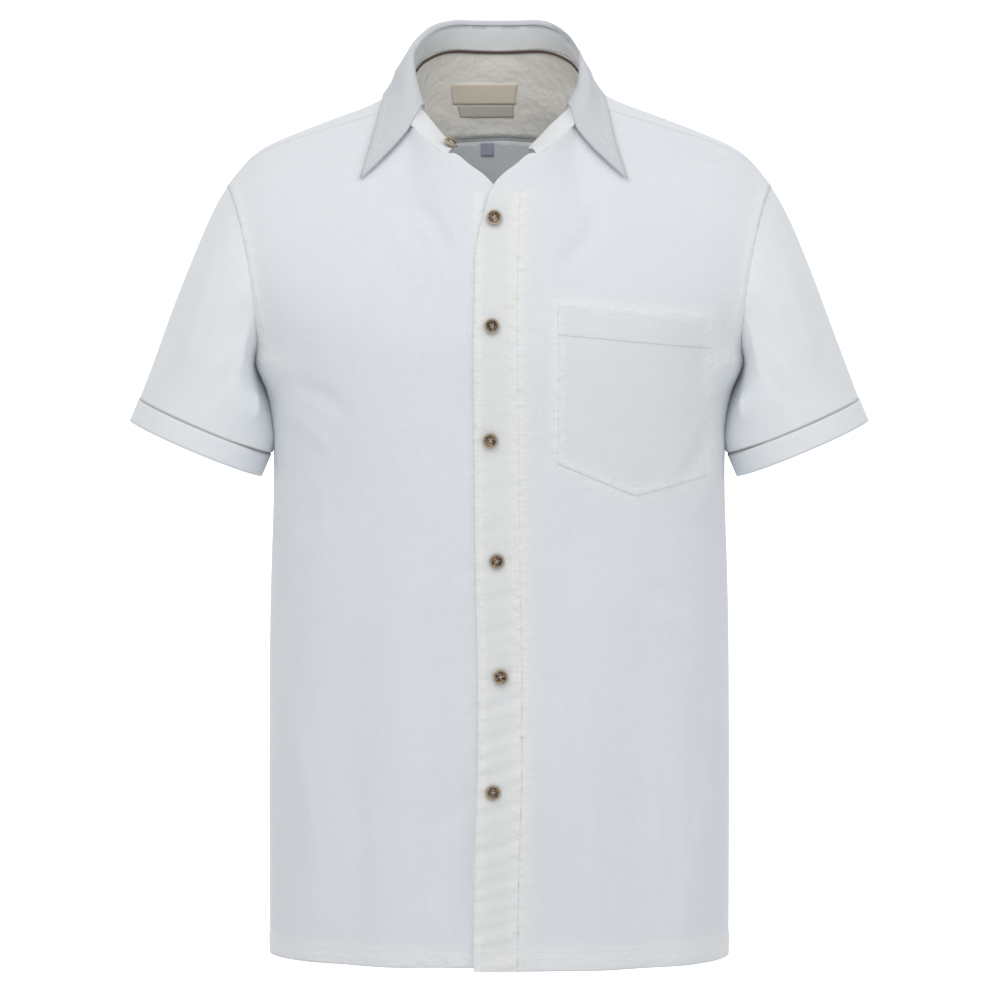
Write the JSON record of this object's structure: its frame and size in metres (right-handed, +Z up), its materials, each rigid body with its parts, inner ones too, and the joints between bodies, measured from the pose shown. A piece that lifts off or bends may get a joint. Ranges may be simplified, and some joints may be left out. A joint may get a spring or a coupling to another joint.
{
  "type": "bush shirt",
  "caption": "Short-sleeved white linen bush shirt with a spread collar, a buttoned front and a chest pocket, filled out as worn.",
  "frame": {"origin": "middle of the neck opening, at the height of the side neck points", "axes": "+Z up along the body, -Y towards the buttoned front, +X towards the wearer's left"},
  "size_m": [0.607, 0.2425, 0.7681],
  "materials": {
    "linen": "matte",
    "facing": "matte",
    "piping": "matte",
    "button": "gloss",
    "label": "matte",
    "tab": "matte"
  },
  "bodies": {
    "root": {"front_right": "linen", "front_left": "linen", "back": "linen", "yoke": "linen", "yoke_facing": "facing", "placket": "linen", "pocket": "linen", "sleeve_right": "linen", "sleeve_left": "linen", "sleeve_band_right": "linen", "sleeve_band_left": "linen", "sleeve_piping_right": "piping", "sleeve_piping_left": "piping", "collar_stand": "linen", "collar_leaf": "linen", "neck_piping": "piping", "neck_label": "label", "care_label": "label", "size_tab": "tab", "collar_button": "button", "button_1": "button", "button_2": "button", "button_3": "button", "button_4": "button", "button_5": "button", "button_6": "button"}
  },
  "joints": []
}
